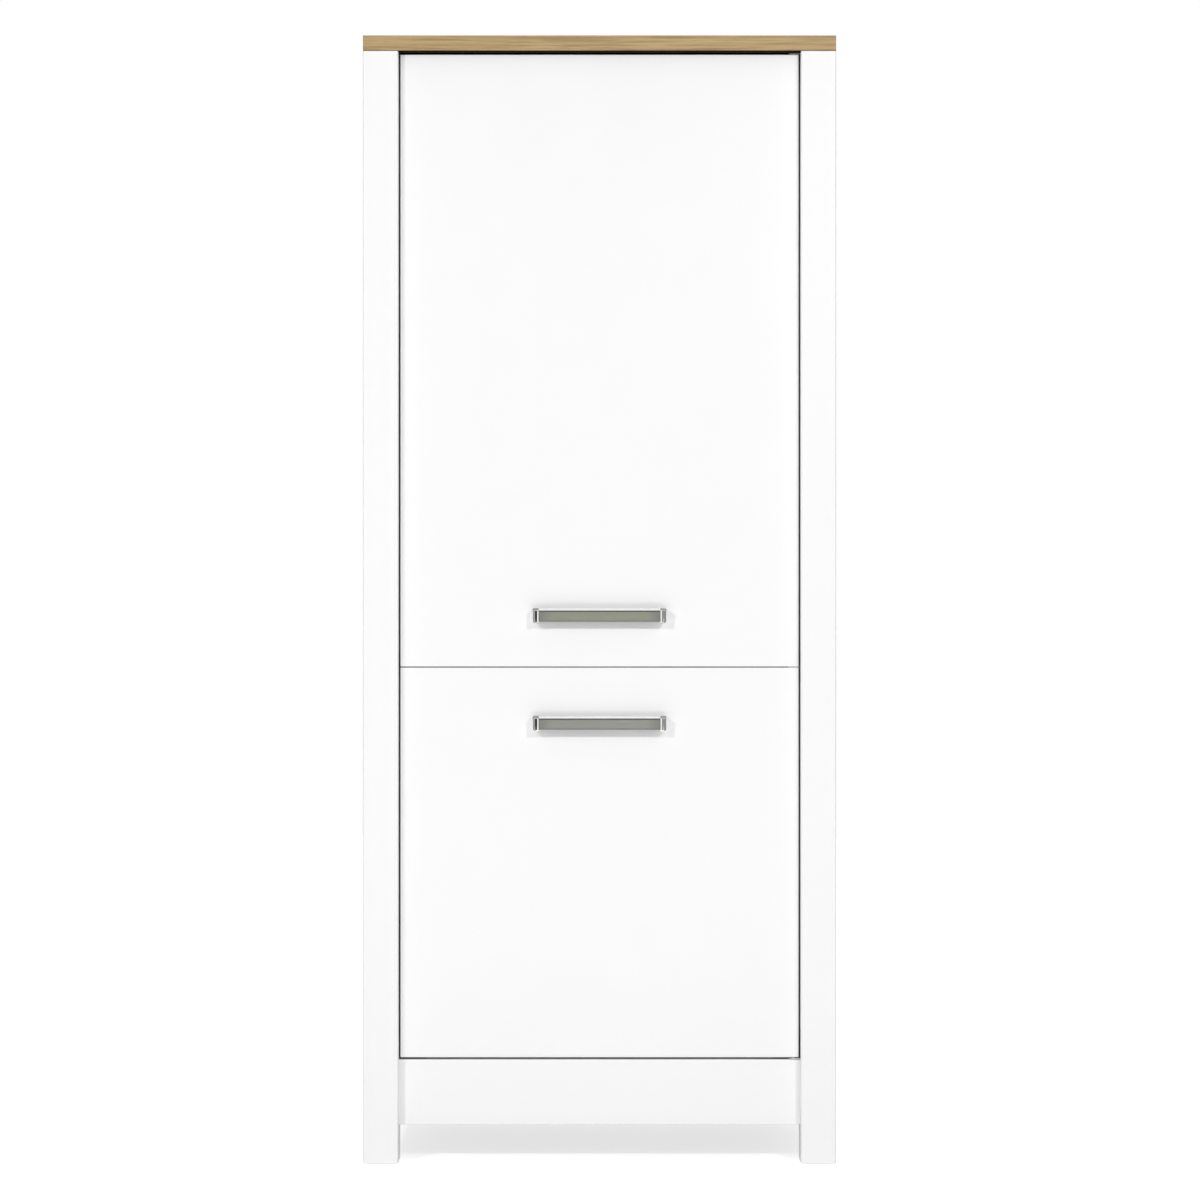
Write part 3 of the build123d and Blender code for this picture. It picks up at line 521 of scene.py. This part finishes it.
def plate_with_painted_light(name, reach, dark, light):
    """Plate steel brushed lengthwise, with a painted olive reflection mid-way and painted shade at
    the ends.
    """
    finish, tree, shader = new_finish(name)
    scratch = cloud(tree, placed(tree, LENGTHWISE), BRUSH_LINES, detail=5.0, rough=0.7)
    parts = tree.nodes.new("ShaderNodeSeparateXYZ")
    tree.links.new(placed(tree), parts.inputs["Vector"])
    from_middle = tree.nodes.new("ShaderNodeMath")
    from_middle.operation = "ABSOLUTE"
    tree.links.new(parts.outputs["X"], from_middle.inputs[0])
    # Painted shade from the ends inwards: the plate turns greyer near the brackets.
    end = between(tree, from_middle.outputs[0], 0, 1, reach - PLATE_SHADE_FADE, reach - PLATE_SHADE_FADE / 3)
    grain = between(tree, scratch, 0, 1)
    middle_reflection_tint = tinted(tree, grain, dark, light)
    end_shade_tint = tinted(tree, grain, PLATE_END_SHADE_DARK, PLATE_END_SHADE_LIGHT)
    shader.inputs["Metallic"].default_value = 1.0
    surfaced(tree, shader, tinted(tree, end, middle_reflection_tint, end_shade_tint),
             between(tree, scratch, PLATE_GLOSS, PLATE_DULL), (scratch, BRUSH_HIGH))
    return finish


def near(a, b):
    """Says whether two lengths are the same to a hundredth of a millimetre."""
    return abs(a - b) < SAME


def pick_faces(piece, wanted):
    """Goes into edit mode with only those faces selected whose middle and normal pass."""
    edit(piece)
    bpy.ops.object.mode_set(mode="OBJECT")
    for face in piece.data.polygons:
        face.select = wanted(face.center, face.normal)
    bpy.ops.object.mode_set(mode="EDIT")


def round_edges(piece, radius, segments, wanted):
    """Rounds only those edges of a piece whose two ends pass."""
    edit(piece, "EDGE")
    bpy.ops.object.mode_set(mode="OBJECT")
    points = piece.data.vertices
    for line in piece.data.edges:
        line.select = all(wanted(points[end].co) for end in line.vertices)
    bpy.ops.object.mode_set(mode="EDIT")
    bpy.ops.mesh.bevel(offset=radius, segments=segments)
    bpy.ops.object.mode_set(mode="OBJECT")


def softened(piece, radius, segments):
    """Rounds the edges that are still sharp, and smooths what is round."""
    soft = piece.modifiers.new("soft edges", "BEVEL")
    soft.width = radius
    soft.segments = segments
    soft.limit_method = "ANGLE"
    soft.angle_limit = radians(STILL_SHARP)
    bpy.ops.object.modifier_apply(modifier=soft.name)
    smoothed(piece, SHARP)


def make_bar(level, left, right):
    """Makes a bar from its left to its right end, and lets its plate into the groove in front."""
    low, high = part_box(f"{level}_handle_bar")
    low.x, high.x = left, right
    lip_foot = high.z - LIP_ROUND
    groove_foot = low.z + BAR_FOOT
    bar = block(f"{level}_bar_body", low, high)
    round_edges(bar, LIP_ROUND, LIP_SEGMENTS, lambda at: near(at.y, low.y) and near(at.z, high.z))
    edit(bar)
    sliced((0, 0, groove_foot), (0, 0, 1))
    bpy.ops.object.mode_set(mode="OBJECT")
    pick_faces(bar, lambda middle, normal:
               normal.y < FACES_FRONT and groove_foot < middle.z < lip_foot)
    bpy.ops.mesh.extrude_region_move(TRANSFORM_OT_translate={"value": (0, RECESS_DEEP, 0)})
    bpy.ops.object.mode_set(mode="OBJECT")
    softened(bar, BAR_ROUND, BAR_SEGMENTS)
    belongs(bar, f"{level}_door", "handle_bar_metal", bar_satin_and_shade, f"{level}_handle_bar")
    second_finish(bar, chrome, lambda middle, normal: middle.z > lip_foot - SEAM)
    # Painted shade: the recess round the plate gets the darker groove finish.
    second_finish(bar, groove_painted_shade, lambda middle, normal:
                  low.y + SEAM < middle.y < low.y + RECESS_DEEP + SEAM
                  and groove_foot - SEAM < middle.z < lip_foot)
    recess = low.y + RECESS_DEEP
    plate_low = Vector((low.x + PLATE_SHORT, recess - PLATE_THICK, groove_foot + PLATE_CLEAR))
    plate_high = Vector((high.x - PLATE_SHORT, recess, lip_foot - GROOVE_HIGH))
    plate = rounded_board(f"{level}_bar_plate", plate_low, plate_high, PLATE_ROUND)
    # The plate's colours are painted reflection in the middle and painted shade at the ends.
    plate_painted_light = plate_with_painted_light(f"{level} plate steel", high.x, *PLATE_REFLECTION_TINTS[level])
    belongs(plate, f"{level}_door", "handle_bar_metal", plate_painted_light)


def make_leg(level, side, low, high, stands_for):
    """Makes a bracket's leg: a rib beside the bar, a facet, a flank and a rim along its foot."""
    outward, outer = (-1, low.x) if side == "left" else (1, high.x)
    inner = outer - outward * END_WIDE
    edge = outer - outward * LEG_INSET
    foot = low.z - LEG_DROP
    top = high.z - CAP_LOWER - CAP_HIGH + CAP_OVERLAP
    leg = block(f"{level}_clip_{side}", Vector((min(inner, edge), low.y, foot)),
                Vector((max(inner, edge), high.y, top)))
    round_edges(leg, LEG_CORNER, LIP_SEGMENTS, lambda at: near(at.x, edge) and near(at.z, foot))
    edit(leg)
    rib_end = Vector((inner + outward * RIB_WIDE, low.y, 0))
    facet = Vector((outward * FACET_WIDE, FACET_WIDE * tan(radians(FACET_SLOPE)), 0))
    for start, slope in ((rib_end, radians(FACET_SLOPE)), (rib_end + facet, radians(FLANK_SLOPE))):
        sliced(start, (outward * sin(slope), -cos(slope), 0), cut_off=True)
    slope = radians(RIM_SLOPE)
    sliced((0, low.y, foot + LEG_RIM), (0, -sin(slope), -cos(slope)), cut_off=True)
    bpy.ops.object.mode_set(mode="OBJECT")
    softened(leg, LEG_ROUND, LEG_SEGMENTS)
    belongs(leg, f"{level}_door", "handle_chrome", chrome, *stands_for)


def make_cap(level, side, low, high):
    """Makes the cap on a bracket's leg, rounded like the bar's lip and at its outer end."""
    outward, outer = (-1, low.x) if side == "left" else (1, high.x)
    inner = outer - outward * END_WIDE
    edge = outer - outward * CAP_INSET
    top = high.z - CAP_LOWER
    foot = top - CAP_HIGH
    cap = block(f"{level}_cap_{side}", Vector((min(inner, edge), low.y, foot)),
                Vector((max(inner, edge), high.y, top)))
    round_edges(cap, LIP_ROUND, LIP_SEGMENTS, lambda at: near(at.y, low.y) and near(at.z, top))
    round_edges(cap, CAP_ROUND, CAP_SEGMENTS,
                lambda at: near(at.x, edge) and at.z > foot + LEG_ROUND)
    softened(cap, LEG_ROUND, LEG_SEGMENTS)
    belongs(cap, f"{level}_door", "handle_chrome", cap_satin)


chrome = plated("handle chrome", CHROME_DIM, CHROME, CHROME_GLOSS)
# Dark satin that also paints shade on the bar's foot band.
bar_satin_and_shade = brushed("bar satin and painted shade", BODY_AND_SHADE_DARK, BODY_AND_SHADE_LIGHT, LENGTHWISE, BODY_GLOSS)
# Darker satin that paints the groove's shade.
groove_painted_shade = brushed("bar groove painted shade", GROOVE_SHADE_DARK, GROOVE_SHADE_LIGHT, LENGTHWISE, GROOVE_GLOSS)
cap_satin = brushed("cap satin", CAP_DARK, CAP_LIGHT, CAP_GRAIN, CAP_GLOSS)
for level in ("upper", "lower"):
    low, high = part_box(f"{level}_handle_ends")
    make_bar(level, low.x + END_WIDE, high.x - END_WIDE)
    make_leg(level, "left", low, high, [f"{level}_handle_ends"])
    make_cap(level, "left", low, high)
    make_leg(level, "right", low, high, [])
    make_cap(level, "right", low, high)

# Plates and screws.
# Stamped steel plates and angles and all the screws, zinc plated. The plates carry the door pins,
# hold the plinth board and the wall screw, and face the door magnets.
ZINC_DARK = (0.42, 0.43, 0.44, 1)
ZINC_LIGHT = (0.60, 0.61, 0.62, 1)
ZINC_GRAIN, ZINC_GLOSS = (9, 9, 9), 0.32
SCREW_GRAIN, SCREW_GLOSS = (40, 40, 40), 0.28

zinc = brushed("zinc plate", ZINC_DARK, ZINC_LIGHT, ZINC_GRAIN, ZINC_GLOSS)
for plate in ("pivot_leaves", "plinth_brackets", "wall_bracket", "upper_strike_plate",
              "lower_strike_plate"):
    wear(plate, zinc)
screw_zinc = brushed("screw zinc", ZINC_DARK, ZINC_LIGHT, SCREW_GRAIN, SCREW_GLOSS)
for screws in nodes:
    if screws.endswith("_screws"):
        wear(screws, screw_zinc)

# Pins and cam bolts.
# Bright drawn steel: the pins that the doors turn on, the pins under the loose shelf, and the
# bolts that the cam locks pull on.
STEEL_DARK = (0.45, 0.45, 0.45, 1)
STEEL_LIGHT = (0.62, 0.62, 0.62, 1)
STEEL_GRAIN, STEEL_GLOSS = (30, 30, 4), 0.22

drawn_steel = brushed("drawn steel", STEEL_DARK, STEEL_LIGHT, STEEL_GRAIN, STEEL_GLOSS)
for pins in ("pivot_pins", "shelf_pins", "cam_bolts"):
    wear(pins, drawn_steel)

# Cam locks.
# Cast zinc drums in blind bores of the bottom and of the appliance shelf. Turned on its bolt, each
# draws the board's end tight against the carcass side.
CAST_DARK = (0.34, 0.34, 0.34, 1)
CAST_LIGHT = (0.46, 0.46, 0.46, 1)
CAST_GRAIN, CAST_GLOSS = (12, 12, 12), 0.45

wear("cam_locks", brushed("cast zinc", CAST_DARK, CAST_LIGHT, CAST_GRAIN, CAST_GLOSS))

# Catches.
# A white moulded housing for each door, screwed to the carcass side, holds a pressed ferrite
# magnet that pulls on the plate behind the door.
CATCH_SHADE = (0.74, 0.74, 0.725, 1)
CATCH_WHITE = (0.80, 0.80, 0.785, 1)
CATCH_GLOSS = 0.38
FERRITE_DARK = (0.03, 0.03, 0.032, 1)
FERRITE_LIGHT = (0.07, 0.07, 0.072, 1)
FERRITE_GLOSS = 0.5
FERRITE_GRAIN, FERRITE_HIGH = 900.0, 0.00005

wear("catch_housings", moulded("catch plastic", CATCH_SHADE, CATCH_WHITE, CATCH_GLOSS))
wear("catch_magnets", moulded("ferrite", FERRITE_DARK, FERRITE_LIGHT, FERRITE_GLOSS,
                              FERRITE_GRAIN, FERRITE_HIGH))

# Dowels.
# Turned beech, glued into both boards of a joint. They set the boards flush before the locks and
# screws pull them together.
BEECH_DARK = (0.45, 0.29, 0.15, 1)
BEECH_LIGHT = (0.60, 0.42, 0.25, 1)
BEECH_GLOSS = 0.6
BEECH_GRAIN, BEECH_HIGH = 700.0, 0.0001

wear("dowels", moulded("beech", BEECH_DARK, BEECH_LIGHT, BEECH_GLOSS, BEECH_GRAIN, BEECH_HIGH))

# Bushes and bumpers.
# Nylon bushes, pressed into the head and the foot of each door, turn on the pins. Clear soft
# bumpers, glued to the back of each door, keep it off the carcass.
NYLON_DARK = (0.62, 0.60, 0.54, 1)
NYLON_LIGHT = (0.70, 0.68, 0.62, 1)
NYLON_GLOSS = 0.35
BUMPER_DARK = (0.62, 0.64, 0.64, 1)
BUMPER_LIGHT = (0.70, 0.72, 0.72, 1)
BUMPER_GLOSS = 0.2
BUMPER_GRAIN, BUMPER_HIGH = 300.0, 0.00001

bush_nylon = moulded("bush nylon", NYLON_DARK, NYLON_LIGHT, NYLON_GLOSS)
bumper_rubber = moulded("bumper rubber", BUMPER_DARK, BUMPER_LIGHT, BUMPER_GLOSS,
                        BUMPER_GRAIN, BUMPER_HIGH)
for level in ("upper", "lower"):
    wear(f"{level}_pivot_bushes", bush_nylon)
    wear(f"{level}_door_bumpers", bumper_rubber)

# Floor.
# A plain white floor that keeps the cabinet's shadow. It glows a little for the camera and in
# polished metal alone, so that it shows nearly white without lighting the cabinet.
FLOOR_WHITE = (0.95, 0.95, 0.95, 1)
FLOOR_SIZE = 16.0
FLOOR_GLOW = 0.70


def reckoned(tree, operation, first, second):
    """Works out one operation on two values, each of them a number or a node's output."""
    result = tree.nodes.new("ShaderNodeMath")
    result.operation = operation
    for socket, value in zip(result.inputs, (first, second)):
        if isinstance(value, float):
            socket.default_value = value
        else:
            tree.links.new(value, socket)
    return result.outputs[0]


bpy.ops.object.select_all(action="DESELECT")
bpy.ops.mesh.primitive_plane_add(size=FLOOR_SIZE, location=(0, 0, 0))
floor = bpy.context.object
floor.name = "studio_floor"
floor_finish, tree, shader = new_finish("floor")
tree.nodes.remove(shader)
matt = tree.nodes.new("ShaderNodeBsdfDiffuse")
matt.inputs["Color"].default_value = FLOOR_WHITE
glow = tree.nodes.new("ShaderNodeEmission")
path = tree.nodes.new("ShaderNodeLightPath")
seen = reckoned(tree, "MAXIMUM", path.outputs["Is Camera Ray"], path.outputs["Is Glossy Ray"])
tree.links.new(reckoned(tree, "MULTIPLY", seen, FLOOR_GLOW), glow.inputs["Strength"])
both = tree.nodes.new("ShaderNodeAddShader")
tree.links.new(matt.outputs[0], both.inputs[0])
tree.links.new(glow.outputs[0], both.inputs[1])
tree.links.new(both.outputs[0], tree.nodes["Material Output"].inputs["Surface"])
floor.data.materials.append(floor_finish)

# Surround.
# White for the camera and through glass. It lights matt surfaces weakly, and more from the front
# than from elsewhere. Polished metal sees dark flags in it: azimuth, half width and brightness.
AROUND = 0.36
FROM_FRONT = 0.80
FRONT_NARROW = 4.0
FLAGS = ((-42.0, 15.0, 0.03), (-80.0, 17.0, 0.38), (42.0, 15.0, 0.30), (80.0, 17.0, 0.30),
         (-130.0, 24.0, 0.12), (130.0, 24.0, 0.12))
FLAG_SOFT = 4.0

world = bpy.data.worlds.new("studio")
bpy.context.scene.world = world
world.use_nodes = True
tree = world.node_tree
surround = tree.nodes["Background"]
surround.inputs["Color"].default_value = (1, 1, 1, 1)
path = tree.nodes.new("ShaderNodeLightPath")
where = tree.nodes.new("ShaderNodeTexCoord").outputs["Generated"]
flagged = None
for azimuth, half, brightness in FLAGS:
    facing = tree.nodes.new("ShaderNodeVectorMath")
    facing.operation = "DOT_PRODUCT"
    facing.inputs[1].default_value = (sin(radians(azimuth)), -cos(radians(azimuth)), 0)
    tree.links.new(where, facing.inputs[0])
    dimmed = between(tree, facing.outputs["Value"], 1, brightness, cos(radians(half + FLAG_SOFT)),
                     cos(radians(half - FLAG_SOFT)))
    flagged = dimmed if flagged is None else reckoned(tree, "MULTIPLY", flagged, dimmed)
glossy = path.outputs["Is Glossy Ray"]
shown = reckoned(tree, "MAXIMUM", path.outputs["Is Camera Ray"],
                 path.outputs["Is Transmission Ray"])
mirrored = reckoned(tree, "MULTIPLY", flagged, glossy)
matt_only = reckoned(tree, "SUBTRACT", 1.0, reckoned(tree, "MAXIMUM", shown, glossy))
parts = tree.nodes.new("ShaderNodeSeparateXYZ")
tree.links.new(where, parts.inputs["Vector"])
ahead = reckoned(tree, "MINIMUM", parts.outputs["Y"], 0.0)
ahead = reckoned(tree, "POWER", reckoned(tree, "MULTIPLY", ahead, ahead), FRONT_NARROW)
ambient = reckoned(tree, "ADD", reckoned(tree, "MULTIPLY", ahead, FROM_FRONT), AROUND)
seen = reckoned(tree, "ADD", shown, mirrored)
lighting = reckoned(tree, "MULTIPLY", matt_only, ambient)
tree.links.new(reckoned(tree, "ADD", seen, lighting), surround.inputs["Strength"])

# Lamps.
# A round lamp at either side, in front of the cabinet and above it, each with its place in X and
# its power. They aim at a point under the floor. A weak wide light stands in front of the foot.
LAMPS = (("left", -1.74, 37.0), ("right", 1.26, 31.5))
LAMP_WIDE = 0.30
LAMP_Y = -3.67
LAMP_HIGH = 2.03
LAMP_AIM = -0.80
FILL_POWER = 5.0
FILL_WIDE = 2.4
FILL_HIGH = 0.2
FILL_PLACE = (0, -2.6, 0.14)
LEVEL = (radians(90), 0, 0)


def lamp(name, shape, size, power, place, turned):
    """Adds a lamp of a width and a height, which shines along its own -Z."""
    light = bpy.data.lights.new(name, "AREA")
    light.shape = shape
    light.size, light.size_y = size
    light.energy = power
    holder = bpy.data.objects.new(name, light)
    holder.location = place
    holder.rotation_euler = turned
    bpy.context.scene.collection.objects.link(holder)


for side, aside, power in LAMPS:
    from_aim = Vector((aside, LAMP_Y, LAMP_HIGH - LAMP_AIM))
    lamp(f"lamp {side}", "DISK", (LAMP_WIDE, LAMP_WIDE), power, (aside, LAMP_Y, LAMP_HIGH),
         from_aim.to_track_quat("Z", "Y").to_euler())
lamp("low fill", "RECTANGLE", (FILL_WIDE, FILL_HIGH), FILL_POWER, FILL_PLACE, LEVEL)

# Camera.
# It stands level, six metres in front of the posts and at half the cabinet's height. Its lens
# takes in a picture of the given width at the posts' fronts.
CAMERA_AWAY = 6.0
CAMERA_HEIGHT = 0.83505
CAMERA_ASIDE = 0.0007
SENSOR = 36.0
PICTURE_WIDE = 1.77458

view = bpy.data.cameras.new("camera")
view.sensor_width = SENSOR
view.lens = SENSOR * CAMERA_AWAY / PICTURE_WIDE
camera = bpy.data.objects.new("camera", view)
post_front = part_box("left_front_post")[0].y
camera.location = (CAMERA_ASIDE, post_front - CAMERA_AWAY, CAMERA_HEIGHT)
camera.rotation_euler = LEVEL
bpy.context.scene.collection.objects.link(camera)
bpy.context.scene.camera = camera
bpy.context.scene.view_settings.view_transform = "Standard"
